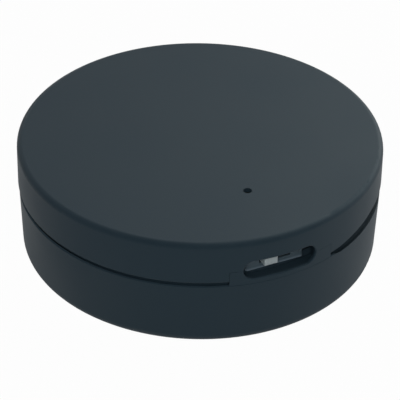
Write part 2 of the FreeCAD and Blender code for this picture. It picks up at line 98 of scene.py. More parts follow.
# A soft panel lights the puck from above, behind and to the right. A large one stands far off at the left, a
# small low one at the right, and a small bluish one at the camera, whose light reaches into slot and seams.
# The room round them is pale, and what is seen of it is brighter behind the puck than in front.
room_level = 0.12
room_colour = (0.84, 0.93, 1.0)
room_bright = 0.9
room_dim = 0.14
bright_from = 0.3
bright_to = 0.85
back_panel_size = 0.15
back_panel_power = 0.145
back_panel_place = Vector((0.088, 0.072, 0.1))
back_panel_colour = (1.0, 0.95, 0.88)
left_panel_size = 0.4
left_panel_power = 0.5
left_panel_place = Vector((-0.6, 0.2, 0.5))
right_panel_size = 0.1
right_panel_power = 0.14
right_panel_place = Vector((0.29, 0.078, 0.09))
front_panel_size = 0.08
front_panel_power = 0.28
front_panel_colour = (0.78, 0.96, 1.0)
white = (1.0, 1.0, 1.0)


def soft_panel(name, place, size, power, colour=white, in_gloss=True):
    """A square lamp that faces the puck."""
    data = bpy.data.lights.new(name, "AREA")
    data.shape = "SQUARE"
    data.size = size
    data.energy = power
    data.color = colour
    lamp = placed(name, data)
    lamp.location = place
    lamp.rotation_mode = "QUATERNION"
    lamp.rotation_quaternion = (place - puck_middle).to_track_quat("Z", "Y")
    lamp.visible_glossy = in_gloss


soft_panel("back panel", back_panel_place, back_panel_size, back_panel_power, back_panel_colour)
soft_panel("left panel", left_panel_place, left_panel_size, left_panel_power)
soft_panel("right panel", right_panel_place, right_panel_size, right_panel_power, in_gloss=False)
soft_panel(
    "front panel", camera_place, front_panel_size, front_panel_power, front_panel_colour, in_gloss=False
)


def fed(tree, socket, value):
    """Feed a socket from another socket, a colour or a plain number."""
    if isinstance(value, bpy.types.NodeSocket):
        tree.links.new(value, socket)
    elif isinstance(value, tuple):
        socket.default_value = (*value, 1)
    else:
        socket.default_value = value


def combined(tree, operation, *values):
    """One Math node over sockets or plain numbers."""
    step = tree.nodes.new("ShaderNodeMath")
    step.operation = operation
    for socket, value in zip(step.inputs, values):
        fed(tree, socket, value)
    return step.outputs[0]


def remapped(tree, value, from_low, from_high, to_low=0.0, to_high=1.0):
    """A value carried from one range to another and held inside it."""
    carry = tree.nodes.new("ShaderNodeMapRange")
    carry.inputs["From Min"].default_value = from_low
    carry.inputs["From Max"].default_value = from_high
    carry.inputs["To Min"].default_value = to_low
    carry.inputs["To Max"].default_value = to_high
    tree.links.new(value, carry.inputs["Value"])
    return carry.outputs["Result"]


def axes_of(tree, vector):
    """The three numbers of a vector."""
    axes = tree.nodes.new("ShaderNodeSeparateXYZ")
    tree.links.new(vector, axes.inputs[0])
    return axes.outputs


def mixed_shaders(tree, share, below, above):
    """Two shaders mixed by a factor."""
    mix = tree.nodes.new("ShaderNodeMixShader")
    for socket, value in zip(mix.inputs, (share, below, above)):
        tree.links.new(value, socket)
    return mix.outputs[0]


def seen_share(tree, straight_share, mirror_share):
    """A factor for what the camera or clear plastic looks at, and another for what a reflection shows."""
    rays = tree.nodes.new("ShaderNodeLightPath").outputs
    straight = combined(tree, "MAXIMUM", rays["Is Camera Ray"], rays["Is Transmission Ray"])
    straight_part = combined(tree, "MULTIPLY", straight, straight_share)
    mirror_part = combined(tree, "MULTIPLY", rays["Is Glossy Ray"], mirror_share)
    return combined(tree, "MAXIMUM", straight_part, mirror_part)


room = bpy.data.worlds.new("pale room")
room.use_nodes = True
room_tree = room.node_tree
room_light = room_tree.nodes["Background"]
room_light.inputs["Color"].default_value = (*room_colour, 1)
room_light.inputs["Strength"].default_value = room_level
room_seen = room_tree.nodes.new("ShaderNodeBackground")
room_seen.inputs["Color"].default_value = (*white, 1)
room_way = room_tree.nodes.new("ShaderNodeTexCoord").outputs["Generated"]
way_back = axes_of(room_tree, room_way)["Y"]
seen_strength = remapped(room_tree, way_back, bright_from, bright_to, room_dim, room_bright)
room_tree.links.new(seen_strength, room_seen.inputs["Strength"])
room_share = seen_share(room_tree, 1.0, 1.0)
room_whole = mixed_shaders(room_tree, room_share, room_light.outputs[0], room_seen.outputs[0])
room_tree.links.new(room_whole, room_tree.nodes["World Output"].inputs["Surface"])
bpy.context.scene.world = room

# The floor is a plain pale sheet. It is nearly white to the camera and keeps the puck's soft shadow, and
# from below it can't be seen, so that the underside can be looked at.
floor_radius = 3.0
floor_segments = 64
floor_shade = 0.3
floor_glow = 0.98
floor_mirror_glow = 0.66

floor_mesh = bpy.data.meshes.new("floor")
floor_shape = bmesh.new()
bmesh.ops.create_circle(floor_shape, cap_ends=True, radius=floor_radius, segments=floor_segments)
floor_shape.to_mesh(floor_mesh)
floor_shape.free()
floor = placed("floor", floor_mesh)
floor_finish = bpy.data.materials.new("pale floor")
floor_finish.use_nodes = True
floor_tree = floor_finish.node_tree
floor_tree.nodes.remove(floor_tree.nodes["Principled BSDF"])
floor_paint = floor_tree.nodes.new("ShaderNodeBsdfDiffuse")
floor_paint.inputs["Color"].default_value = (floor_shade, floor_shade, floor_shade, 1)
floor_white = floor_tree.nodes.new("ShaderNodeEmission")
floor_white.inputs["Strength"].default_value = 1.0
floor_share = seen_share(floor_tree, floor_glow, floor_mirror_glow)
floor_top = mixed_shaders(floor_tree, floor_share, floor_paint.outputs[0], floor_white.outputs[0])
floor_clear = floor_tree.nodes.new("ShaderNodeBsdfTransparent")
floor_under = floor_tree.nodes.new("ShaderNodeNewGeometry").outputs["Backfacing"]
floor_whole = mixed_shaders(floor_tree, floor_under, floor_top, floor_clear.outputs[0])
floor_tree.links.new(floor_whole, floor_tree.nodes["Material Output"].inputs["Surface"])
floor_mesh.materials.append(floor_finish)

# Both shells are moulded in one black plastic with a fine spark-eroded skin and faint marks from handling.
# The lower one is the base: a cup whose tongue snaps into the lid and whose tab holds half of the slot. The
# dip in its rim, under the lid's notch, is painted a deeper black: painted shade.
shell_dark = (0.0225, 0.034, 0.0445)
shell_pale = (0.0285, 0.041, 0.053)
shell_gloss_tint = (0.6, 0.88, 1.0)
grain_detail = 2.0
grain_strength = 0.6
patch_detail = 4.0
patch_roughness = 0.55
mask_low = 0.3
mask_high = 0.7
dip_shade_colour = (0.0085, 0.013, 0.0175)
dip_shade_radii = (0.0219, 0.02228)
dip_shade_heights = (0.0081, 0.00845)
dip_shade_blend = 0.00008


def effect_group(name, inputs, outputs):
    """An empty shader group with named numbers in and masks out, and the sockets at its two ends."""
    group = bpy.data.node_groups.new(name, "ShaderNodeTree")
    for labels, way in ((inputs, "INPUT"), (outputs, "OUTPUT")):
        for label in labels:
            group.interface.new_socket(label, in_out=way, socket_type="NodeSocketFloat")
    into = group.nodes.new("NodeGroupInput")
    out = group.nodes.new("NodeGroupOutput")
    return group, into.outputs, out.inputs


def noise_of(tree, vector, scale, detail, roughness=0.5):
    """A noise mask whose scale comes from a socket."""
    noise = tree.nodes.new("ShaderNodeTexNoise")
    noise.inputs["Detail"].default_value = detail
    noise.inputs["Roughness"].default_value = roughness
    tree.links.new(vector, noise.inputs["Vector"])
    tree.links.new(scale, noise.inputs["Scale"])
    return noise.outputs["Fac"]


def object_place(tree, turn=None, centre=(0.0, 0.0, 0.0)):
    """Object coordinates, turned about an upright line where a turn is given."""
    place = tree.nodes.new("ShaderNodeTexCoord").outputs["Object"]
    if turn is None:
        return place
    turned = tree.nodes.new("ShaderNodeVectorRotate")
    turned.rotation_type = "Z_AXIS"
    turned.inputs["Center"].default_value = centre
    fed(tree, turned.inputs["Angle"], turn)
    tree.links.new(place, turned.inputs["Vector"])
    return turned.outputs[0]


def moulded_skin_group():
    """A fine grain for the surface and slow patches for its colour and roughness."""
    group, into, out = effect_group(
        "moulded skin", ("Grains per metre", "Patches per metre"), ("Grain", "Patch")
    )
    place = object_place(group)
    grain = noise_of(group, place, into["Grains per metre"], grain_detail)
    patch = noise_of(group, place, into["Patches per metre"], patch_detail, patch_roughness)
    group.links.new(grain, out["Grain"])
    group.links.new(patch, out["Patch"])
    return group


moulded_skin = moulded_skin_group()


def shader_of(material):
    """A material's own shader."""
    return material.node_tree.nodes["Principled BSDF"]


def finish_of(name, colour, roughness, metallic=0.0):
    """A new material, its shader set to the values that are the same all over."""
    material = bpy.data.materials.new(name)
    material.use_nodes = True
    shader = shader_of(material)
    shader.inputs["Base Color"].default_value = (*colour, 1)
    shader.inputs["Roughness"].default_value = roughness
    shader.inputs["Metallic"].default_value = metallic
    return material


def skin_of(material, grains, patches):
    """The skin group's masks, placed in a material at its own scales."""
    skin = material.node_tree.nodes.new("ShaderNodeGroup")
    skin.node_tree = moulded_skin
    skin.inputs["Grains per metre"].default_value = grains
    skin.inputs["Patches per metre"].default_value = patches
    return skin.outputs


def blended(tree, share, below, above):
    """Two colours, or sockets of colours, mixed by a mask."""
    mix = tree.nodes.new("ShaderNodeMix")
    mix.data_type = "RGBA"
    fed(tree, mix.inputs[0], share)
    fed(tree, mix.inputs[6], below)
    fed(tree, mix.inputs[7], above)
    return mix.outputs[2]


def two_tones(material, mask, low_colour, high_colour, roughness):
    """Colour and roughness that follow a mask between its usual limits."""
    tree = material.node_tree
    shader = shader_of(material)
    spread = remapped(tree, mask, mask_low, mask_high)
    tree.links.new(blended(tree, spread, low_colour, high_colour), shader.inputs["Base Color"])
    tree.links.new(remapped(tree, spread, 0.0, 1.0, *roughness), shader.inputs["Roughness"])


def painted_over(material, mask, colour):
    """A second colour over the shader's own, where a mask says so."""
    tree = material.node_tree
    base = shader_of(material).inputs["Base Color"]
    tree.links.new(blended(tree, mask, base.links[0].from_socket, colour), base)


def raised(material, height, depth, strength):
    """A surface relief of a real depth in metres."""
    tree = material.node_tree
    bump = tree.nodes.new("ShaderNodeBump")
    bump.inputs["Distance"].default_value = depth
    bump.inputs["Strength"].default_value = strength
    tree.links.new(height, bump.inputs["Height"])
    tree.links.new(bump.outputs[0], shader_of(material).inputs["Normal"])


def moulded_finish(name, dark, pale, roughness, grains, patches, grain_height, gloss_level):
    """Moulded plastic or resin: the skin group's grain and patches over one shader."""
    material = finish_of(name, dark, roughness[0])
    shader_of(material).inputs["Specular IOR Level"].default_value = gloss_level
    skin = skin_of(material, grains, patches)
    two_tones(material, skin["Patch"], dark, pale, roughness)
    raised(material, skin["Grain"], grain_height, grain_strength)
    return material


def dress(node, material):
    """Give a CAD node's material slot its finish."""
    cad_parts[node].material_slots[0].material = material


def reach_of(tree, axes):
    """How far a point lies from the puck's axis."""
    squares = [combined(tree, "MULTIPLY", axes[way], axes[way]) for way in ("X", "Y")]
    return combined(tree, "SQRT", combined(tree, "ADD", *squares))


def painted_shade_band(material, colour, radii, heights, blend):
    """Painted shade: a darker colour over the skin between two radii round the puck's axis and two heights.
    """
    tree = material.node_tree
    axes = axes_of(tree, object_place(tree))
    share = 1.0
    for measure, (low, high) in ((reach_of(tree, axes), radii), (axes["Z"], heights)):
        for outside, inside in ((low - blend, low), (high + blend, high)):
            share = combined(tree, "MULTIPLY", remapped(tree, measure, outside, inside), share)
    painted_over(material, share, colour)


shell_finish = moulded_finish(
    "shell plastic", dark=shell_dark, pale=shell_pale, roughness=(0.5, 0.6),
    grains=5200.0, patches=95.0, grain_height=0.000012, gloss_level=0.27,
)
shader_of(shell_finish).inputs["Specular Tint"].default_value = (*shell_gloss_tint, 1)
# The dip under the lid's notch is painted a deeper black, as painted shade.
painted_shade_band(shell_finish, dip_shade_colour, dip_shade_radii, dip_shade_heights, dip_shade_blend)
dress("base_shell", shell_finish)

# A die-cut disc of closed-cell foam is stuck to the base's floor and stops the cell from rattling. It is
# soft, so its rim is rounded and its face is a little uneven.
foam_rim_round = 0.00028
foam_rim_steps = 4
foam_unevenness = 0.00003
foam_seed = 11
foam_segments = 96
foam_rings = 14
foam_dark = (0.05, 0.05, 0.056)
foam_pale = (0.085, 0.085, 0.092)
foam_roughness = 0.9
foam_gloss_level = 0.2
foam_cells = 2600.0
foam_pit_depth = 0.0001


def smooth_mesh(name, shape, sharp_from):
    """A plain mesh of a finished shape, shaded smooth where it turns by less than an angle in degrees."""
    mesh = bpy.data.meshes.new(name)
    shape.to_mesh(mesh)
    shape.free()
    mesh.shade_smooth()
    mesh.set_sharp_from_angle(angle=math.radians(sharp_from))
    return mesh


def foam_disc():
    """The pad's shape: rings from the middle of the top over the rounded rim to the underside."""
    low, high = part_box("cell_pad")
    radius = high.x
    seeded = random.Random(foam_seed)
    shape = bmesh.new()
    profile = []
    for step in range(1, foam_rings + 1):
        profile.append(((radius - foam_rim_round) * step / foam_rings, high.z))
    for step in range(1, foam_rim_steps + 1):
        angle = math.pi / 2 * step / foam_rim_steps
        reach = radius - foam_rim_round + foam_rim_round * math.sin(angle)
        profile.append((reach, high.z - foam_rim_round * (1 - math.cos(angle))))
    profile.append((radius, low.z))
    rings = []
    for reach, height in profile:
        ring = []
        for index in range(foam_segments):
            turn = 2 * math.pi * index / foam_segments
            sag = -foam_unevenness * seeded.random() if height == high.z else 0
            ring.append(shape.verts.new((reach * math.cos(turn), reach * math.sin(turn), height + sag)))
        rings.append(ring)
    top = shape.verts.new((0, 0, high.z))
    foot = shape.verts.new((0, 0, low.z))
    for index in range(foam_segments):
        after = (index + 1) % foam_segments
        shape.faces.new((top, rings[0][index], rings[0][after]))
        shape.faces.new((foot, rings[-1][after], rings[-1][index]))
        for inner, outer in zip(rings, rings[1:]):
            shape.faces.new((inner[index], outer[index], outer[after], inner[after]))
    return shape


def cells_of(tree, vector, scale, scatter=1.0):
    """A pattern of cells, so many to the metre."""
    cells = tree.nodes.new("ShaderNodeTexVoronoi")
    cells.inputs["Scale"].default_value = scale
    cells.inputs["Randomness"].default_value = scatter
    tree.links.new(vector, cells.inputs["Vector"])
    return cells


def foam_finish():
    """Closed-cell foam: dark, matt, with small open pits where it was cut."""
    material = finish_of("pad foam", foam_dark, foam_roughness)
    shader_of(material).inputs["Specular IOR Level"].default_value = foam_gloss_level
    tree = material.node_tree
    pits = cells_of(tree, object_place(tree), foam_cells).outputs["Distance"]
    two_tones(material, pits, foam_dark, foam_pale, roughness=(0.82, 0.95))
    raised(material, pits, foam_pit_depth, strength=0.7)
    return material


foam_pad = placed("foam_pad", smooth_mesh("foam_pad", foam_disc(), sharp_from=35))
foam_pad.data.materials.append(foam_finish())
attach(foam_pad, "base")
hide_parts("cell_pad")

# The coin cell is a can and a cap of nickel-plated drawn steel, kept apart by a dark ring. The can is the
# positive pole, with a plus sign pressed into its underside; the cap has a fine dimpled skin for grip.
cell_low_colour = (0.5, 0.5, 0.51)
cell_high_colour = (0.64, 0.64, 0.65)
line_stretch = 0.05
line_detail = 3.0
line_strength = 0.5
tarnish_share = 0.3
tarnish_detail = 5.0
plus_half_length = 0.0021
plus_half_width = 0.00028
plus_softness = 0.00006
plus_depth = 0.00012
cap_dimples = 2300.0
cap_dimple_scatter = 0.15
cap_dimple_depth = 0.00004


def rolled_sheet_group():
    """Fine lines along the way the sheet was rolled, and slow tarnish."""
    group, into, out = effect_group("rolled sheet", ("Lines per metre", "Turn"), ("Line", "Tarnish"))
    drawn_out = group.nodes.new("ShaderNodeMapping")
    drawn_out.inputs["Scale"].default_value = (line_stretch, 1.0, 1.0)
    group.links.new(object_place(group, into["Turn"]), drawn_out.inputs["Vector"])
    line = noise_of(group, drawn_out.outputs[0], into["Lines per metre"], line_detail)
    slower = combined(group, "MULTIPLY", into["Lines per metre"], tarnish_share)
    tarnish = noise_of(group, object_place(group), slower, tarnish_detail)
    group.links.new(line, out["Line"])
    group.links.new(tarnish, out["Tarnish"])
    return group


rolled_sheet = rolled_sheet_group()


def sheet_finish(name, dull, bright, roughness, lines, turn, depth, metal_share=1.0):
    """Plated or bare sheet metal: the sheet group's lines and tarnish over one metal shader."""
    material = finish_of(name, dull, roughness[0], metal_share)
    sheet = material.node_tree.nodes.new("ShaderNodeGroup")
    sheet.node_tree = rolled_sheet
    sheet.inputs["Lines per metre"].default_value = lines
    sheet.inputs["Turn"].default_value = turn
    two_tones(material, sheet.outputs["Tarnish"], dull, bright, roughness)
    raised(material, sheet.outputs["Line"], depth, line_strength)
    return material


def inside_limit(tree, value, limit, softness):
    """One where a value is nearer to zero than a limit, falling softly to zero past it."""
    size = combined(tree, "ABSOLUTE", value)
    return remapped(tree, size, limit + softness, limit - softness)


def can_finish():
    """The can's plated steel with the plus sign pressed into it."""
    material = sheet_finish(
        "cell can steel", cell_low_colour, cell_high_colour, roughness=(0.28, 0.4),
        lines=900.0, turn=0.6, depth=0.000006,
    )
    tree = material.node_tree
    axes = axes_of(tree, object_place(tree))
    arms = []
    for long_way, short_way in (("X", "Y"), ("Y", "X")):
        length = inside_limit(tree, axes[long_way], plus_half_length, plus_softness)
        width = inside_limit(tree, axes[short_way], plus_half_width, plus_softness)
        arms.append(combined(tree, "MULTIPLY", length, width))
    pressed = tree.nodes.new("ShaderNodeBump")
    pressed.invert = True
    pressed.inputs["Distance"].default_value = plus_depth
    tree.links.new(combined(tree, "MAXIMUM", *arms), pressed.inputs["Height"])
    lines_bump = shader_of(material).inputs["Normal"].links[0].from_node
    tree.links.new(pressed.outputs[0], lines_bump.inputs["Normal"])
    return material


def cap_finish():
    """The cap's plated steel with its dimpled skin."""
    material = finish_of("cell cap steel", cell_low_colour, roughness=0.4, metallic=1.0)
    tree = material.node_tree
    dimples = cells_of(tree, object_place(tree), cap_dimples, cap_dimple_scatter).outputs["Distance"]
    two_tones(material, dimples, cell_low_colour, cell_high_colour, roughness=(0.34, 0.48))
    raised(material, dimples, cap_dimple_depth, strength=0.6)
    return material


dress("coin_cell_can", can_finish())
dress("coin_cell_cap", cap_finish())
dress("coin_cell_gasket", moulded_finish(
    "gasket plastic", dark=(0.03, 0.03, 0.034), pale=(0.05, 0.05, 0.055), roughness=(0.42, 0.55),
    grains=2600.0, patches=300.0, grain_height=0.000008, gloss_level=0.4,
))

# The holder is one black glass-filled moulding under the board. Its clip and its spring are pressed from
# nickel-plated strip and soldered to the board by their feet.
board_turn = math.radians(26.8)
dress("battery_holder", moulded_finish(
    "holder plastic", dark=(0.018, 0.018, 0.02), pale=(0.032, 0.032, 0.034), roughness=(0.4, 0.58),
    grains=2100.0, patches=260.0, grain_height=0.00002, gloss_level=0.4,
))
strip_finish = sheet_finish(
    "contact strip", dull=(0.52, 0.51, 0.48), bright=(0.7, 0.69, 0.66), roughness=(0.2, 0.34),
    lines=3200.0, turn=-board_turn, depth=0.000006,
)
dress("cell_clip", strip_finish)
dress("cell_spring", strip_finish)

# The round board is glass laminate under a dark solder mask. Copper tracks show through the mask as paler
# raised lanes, small plated holes join its two sides, and bare rings lie round the screw holes.
mask_over_laminate = (0.02, 0.027, 0.034)
mask_over_copper = (0.034, 0.044, 0.052)
laminate_colour = (0.045, 0.062, 0.08)
bare_ring_colour = (0.62, 0.5, 0.26)
# Painted shade: the near-black middle of each plated hole.
hole_shade_colour = (0.01, 0.012, 0.01)
mask_roughness = 0.32
lane_pitch = 0.00062
lane_share = 0.42
lanes_used = 0.6
jog_length = 0.0052
jog_flat = 0.0014
track_height = 0.000035
screw_count = 3
screw_circle_radius = 0.01722
first_screw_azimuth = board_turn + math.radians(60.0)
ring_radius = 0.0017
plated_holes = 330.0
plated_hole_scatter = 0.8
plated_hole_share = 0.4
plated_hole_radius = 0.13
plated_pad_radius = 0.24
plated_hole_fall = 2
facing_up_from = 0.5


def board_finish():
    """Solder mask over tracks, plated holes, bare screw rings and a raw cut edge."""
    material = finish_of("board laminate", mask_over_laminate, mask_roughness)
    tree = material.node_tree
    shader = shader_of(material)

    def math_of(operation, *values):
        return combined(tree, operation, *values)

    turned = object_place(tree, -board_turn)
    axes = axes_of(tree, turned)
    swing = math_of("PINGPONG", axes["X"], jog_length)
    jog = math_of("MAXIMUM", math_of("MINIMUM", swing, jog_length - jog_flat), jog_flat)
    lane = math_of("DIVIDE", math_of("ADD", axes["Y"], jog), lane_pitch)
    stretch = math_of("FLOOR", math_of("DIVIDE", axes["X"], 2 * jog_length))
    number = tree.nodes.new("ShaderNodeCombineXYZ")
    tree.links.new(math_of("FLOOR", lane), number.inputs[0])
    tree.links.new(stretch, number.inputs[1])
    pick = tree.nodes.new("ShaderNodeTexWhiteNoise")
    pick.noise_dimensions = "2D"
    tree.links.new(number.outputs[0], pick.inputs["Vector"])
    used = math_of("LESS_THAN", pick.outputs["Value"], lanes_used)
    track = math_of("MULTIPLY", math_of("LESS_THAN", math_of("FRACT", lane), lane_share), used)

    cells = cells_of(tree, turned, plated_holes, plated_hole_scatter)
    cells.voronoi_dimensions = "2D"
    tint = tree.nodes.new("ShaderNodeSeparateColor")
    tree.links.new(cells.outputs["Color"], tint.inputs[0])
    chosen = math_of("LESS_THAN", tint.outputs[0], plated_hole_share)
    pad = math_of("MULTIPLY", math_of("LESS_THAN", cells.outputs["Distance"], plated_pad_radius), chosen)
    pit = math_of("MULTIPLY", math_of("LESS_THAN", cells.outputs["Distance"], plated_hole_radius), chosen)

    plain = axes_of(tree, object_place(tree))
    azimuth = math_of("ARCTAN2", plain["X"], math_of("MULTIPLY", plain["Y"], -1))
    sector = 2 * math.pi / screw_count
    from_screw = math_of("WRAP", math_of("SUBTRACT", azimuth, first_screw_azimuth), sector / 2, -sector / 2)
    radius = reach_of(tree, plain)
    squares = math_of("ADD", math_of("MULTIPLY", radius, radius), screw_circle_radius ** 2)
    lean = math_of("MULTIPLY", math_of("COSINE", from_screw), radius)
    apart = math_of("SUBTRACT", squares, math_of("MULTIPLY", lean, 2 * screw_circle_radius))
    ring = math_of("LESS_THAN", apart, ring_radius ** 2)

    normal = tree.nodes.new("ShaderNodeNewGeometry").outputs["Normal"]
    flat = math_of("GREATER_THAN", math_of("ABSOLUTE", axes_of(tree, normal)["Z"]), facing_up_from)

    copper = math_of("MAXIMUM", track, pad)
    colour = blended(tree, copper, mask_over_laminate, mask_over_copper)
    # The middles of the plated holes are painted near-black: painted shade inside the holes.
    colour = blended(tree, pit, colour, hole_shade_colour)
    colour = blended(tree, ring, colour, bare_ring_colour)
    colour = blended(tree, flat, laminate_colour, colour)
    tree.links.new(colour, shader.inputs["Base Color"])
    tree.links.new(math_of("MULTIPLY", ring, flat), shader.inputs["Metallic"])
    above = math_of("MAXIMUM", copper, ring)
    height = math_of("SUBTRACT", above, math_of("MULTIPLY", pit, plated_hole_fall))
    raised(material, height, track_height, strength=0.6)
    return material


dress("circuit_board", board_finish())

# The small ceramic parts are blocks with a tinned cap on each end: brown capacitors and black resistors.
# One block of each kind is made, and it is set down wherever the frame has one.
chip_length = 0.0016
chip_width = 0.0008
chip_cap = 0.00032
chip_body_inset = 0.00004
chip_edge_round = 0.00005
capacitor_height = 0.0008
resistor_height = 0.00045
touching = 0.000001


def points_tree():
    """A tree that sets one small piece on every point, turned to suit, and gives it its two finishes."""
    tree = bpy.data.node_groups.new("piece on points", "GeometryNodeTree")
    sockets = tree.interface
    sockets.new_socket("Points", in_out="INPUT", socket_type="NodeSocketGeometry")
    sockets.new_socket("Piece", in_out="INPUT", socket_type="NodeSocketObject")
    sockets.new_socket("Body finish", in_out="INPUT", socket_type="NodeSocketMaterial")
    sockets.new_socket("End finish", in_out="INPUT", socket_type="NodeSocketMaterial")
    sockets.new_socket("Geometry", in_out="OUTPUT", socket_type="NodeSocketGeometry")
    nodes = tree.nodes
    links = tree.links
    into = nodes.new("NodeGroupInput")
    out = nodes.new("NodeGroupOutput")
    piece = nodes.new("GeometryNodeObjectInfo")
    links.new(into.outputs["Piece"], piece.inputs["Object"])
    turn = nodes.new("GeometryNodeInputNamedAttribute")
    turn.data_type = "FLOAT"
    turn.inputs["Name"].default_value = "turn"
    rotation = nodes.new("ShaderNodeCombineXYZ")
    links.new(turn.outputs["Attribute"], rotation.inputs["Z"])
    set_down = nodes.new("GeometryNodeInstanceOnPoints")
    links.new(into.outputs["Points"], set_down.inputs["Points"])
    links.new(piece.outputs["Geometry"], set_down.inputs["Instance"])
    links.new(rotation.outputs[0], set_down.inputs["Rotation"])
    real = nodes.new("GeometryNodeRealizeInstances")
    links.new(set_down.outputs[0], real.inputs[0])
    body = nodes.new("GeometryNodeSetMaterial")
    links.new(real.outputs[0], body.inputs["Geometry"])
    links.new(into.outputs["Body finish"], body.inputs["Material"])
    marked = nodes.new("GeometryNodeInputNamedAttribute")
    marked.data_type = "BOOLEAN"
    marked.inputs["Name"].default_value = "end"
    ends = nodes.new("GeometryNodeSetMaterial")
    links.new(body.outputs[0], ends.inputs["Geometry"])
    links.new(marked.outputs["Attribute"], ends.inputs["Selection"])
    links.new(into.outputs["End finish"], ends.inputs["Material"])
    links.new(ends.outputs[0], out.inputs["Geometry"])
    return tree


piece_on_points = points_tree()


def solids_in(node):
    """The corners of each separate solid in a CAD node, in a fixed order."""
    shape = bmesh.new()
    shape.from_mesh(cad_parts[node].data)
    bmesh.ops.remove_doubles(shape, verts=shape.verts, dist=touching)
    shape.verts.ensure_lookup_table()
    waiting = set(shape.verts)
    found = []
    for vert in shape.verts:
        if vert not in waiting:
            continue
        waiting.remove(vert)
        stack = [vert]
        corners = []
        while stack:
            corner = stack.pop()
            corners.append(corner.co.copy())
            for edge in corner.link_edges:
                other = edge.other_vert(corner)
                if other in waiting:
                    waiting.remove(other)
                    stack.append(other)
        found.append(corners)
    shape.free()
    return found


def set_on_points(name, part_mesh, places, turns, body_material, end_material):
    """The tree's copies of one part, turned into a plain mesh piece."""
    part = placed("part", part_mesh)
    mesh = bpy.data.meshes.new(name)
    mesh.from_pydata(places, [], [])
    turn = mesh.attributes.new("turn", "FLOAT", "POINT")
    for index, value in enumerate(turns):
        turn.data[index].value = value
    piece = placed(name, mesh)
    modifier = piece.modifiers.new("copies", "NODES")
    modifier.node_group = piece_on_points
    values = {"Piece": part, "Body finish": body_material, "End finish": end_material}
    for socket in piece_on_points.interface.items_tree:
        if socket.in_out == "INPUT" and socket.name in values:
            modifier[socket.identifier] = values[socket.name]
    depsgraph = bpy.context.evaluated_depsgraph_get()
    plain_mesh = bpy.data.meshes.new_from_object(piece.evaluated_get(depsgraph))
    piece.modifiers.clear()
    piece.data = plain_mesh
    bpy.data.objects.remove(part)
    return piece


def add_block(shape, end_layer, low, high, is_end):
    """A closed block between two corners, marked if it is a metal end."""
    middle = (low + high) / 2
    size = high - low
    place = Matrix.Translation(middle) @ Matrix.Diagonal((*size, 1))
    made = bmesh.ops.create_cube(shape, size=1.0, matrix=place)
    edges = {edge for vert in made["verts"] for edge in vert.link_edges}
    bevelled = bmesh.ops.bevel(
        shape, geom=list(edges), offset=chip_edge_round, segments=2, profile=0.5, affect="EDGES"
    )
    faces = {face for vert in bevelled["verts"] for face in vert.link_faces}
    for face in faces:
        face[end_layer] = is_end


def capped_block(height):
    """A ceramic block between two caps, standing on height zero."""
    shape = bmesh.new()
    end_layer = shape.faces.layers.bool.new("end")
    body_reach = (chip_length - chip_cap) / 2
    body_half_width = chip_width / 2 - chip_body_inset
    body_low = Vector((-body_reach, -body_half_width, chip_body_inset))
    body_high = Vector((body_reach, body_half_width, height - chip_body_inset))
    add_block(shape, end_layer, body_low, body_high, False)
    for side in (-1, 1):
        outer = side * chip_length / 2
        inner = side * (chip_length / 2 - chip_cap)
        low = Vector((min(outer, inner), -chip_width / 2, 0))
        high = Vector((max(outer, inner), chip_width / 2, height))
        add_block(shape, end_layer, low, high, True)
    return smooth_mesh("part", shape, sharp_from=40)


def small_parts(name, node, height, body_material, end_material):
    """Every capacitor or every resistor as one piece, where the frame has them."""
    places = []
    for corners in solids_in(node):
        middle = sum(corners, Vector()) / len(corners)
        places.append((middle.x, middle.y, min(corner.z for corner in corners)))
    turns = [board_turn] * len(places)
    piece = set_on_points(name, capped_block(height), places, turns, body_material, end_material)
    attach(piece, "upper")
    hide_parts(node)


tin_finish = sheet_finish(
    "tin plate", dull=(0.5, 0.51, 0.53), bright=(0.68, 0.69, 0.7), roughness=(0.24, 0.42),
    lines=2400.0, turn=0.0, depth=0.00001,
)
capacitor_finish = moulded_finish(
    "capacitor ceramic", dark=(0.3, 0.21, 0.13), pale=(0.42, 0.31, 0.2), roughness=(0.35, 0.5),
    grains=3800.0, patches=900.0, grain_height=0.000006, gloss_level=0.5,
)
resistor_finish = moulded_finish(
    "resistor ceramic", dark=(0.02, 0.02, 0.022), pale=(0.04, 0.04, 0.044), roughness=(0.2, 0.34),
    grains=3800.0, patches=900.0, grain_height=0.000006, gloss_level=0.5,
)
small_parts(
    "capacitor_blocks", "capacitors", capacitor_height, capacitor_finish, tin_finish
)
small_parts(
    "resistor_blocks", "resistors", resistor_height, resistor_finish, tin_finish
)

# The packaged chips are moulded in black epoxy and soldered to the board. The radio and its crystal, which
# has a lid of welded metal, stand under a can folded from tinned steel.
chip_resin = moulded_finish(
    "chip resin", dark=(0.014, 0.014, 0.016), pale=(0.024, 0.024, 0.026), roughness=(0.45, 0.62),
    grains=5200.0, patches=800.0, grain_height=0.00001, gloss_level=0.4,
)
dress("radio_chip", chip_resin)
dress("accelerometer", chip_resin)
dress("voltage_regulator", chip_resin)
dress("shield_can", sheet_finish(
    "shield steel", dull=(0.5, 0.51, 0.52), bright=(0.64, 0.65, 0.66), roughness=(0.22, 0.38),
    lines=1500.0, turn=-board_turn, depth=0.000008,
))
dress("crystal", sheet_finish(
    "crystal lid", dull=(0.56, 0.54, 0.48), bright=(0.74, 0.72, 0.66), roughness=(0.2, 0.32),
    lines=2600.0, turn=-board_turn, depth=0.000005,
))

# The antenna is a bar of fired white ceramic, soldered to the board by the silver pad at each end. A silver
# line is printed round it from one pad to the other.
antenna_turn = board_turn + math.radians(120.0)
antenna_half_length = 0.0035
antenna_pad = 0.0006
antenna_pad_softness = 0.00002
antenna_winds = 0.0011
antenna_line_share = 0.34
antenna_silver_height = 0.00002
antenna_ceramic = (0.74, 0.73, 0.68)
antenna_silver = (0.62, 0.61, 0.58)


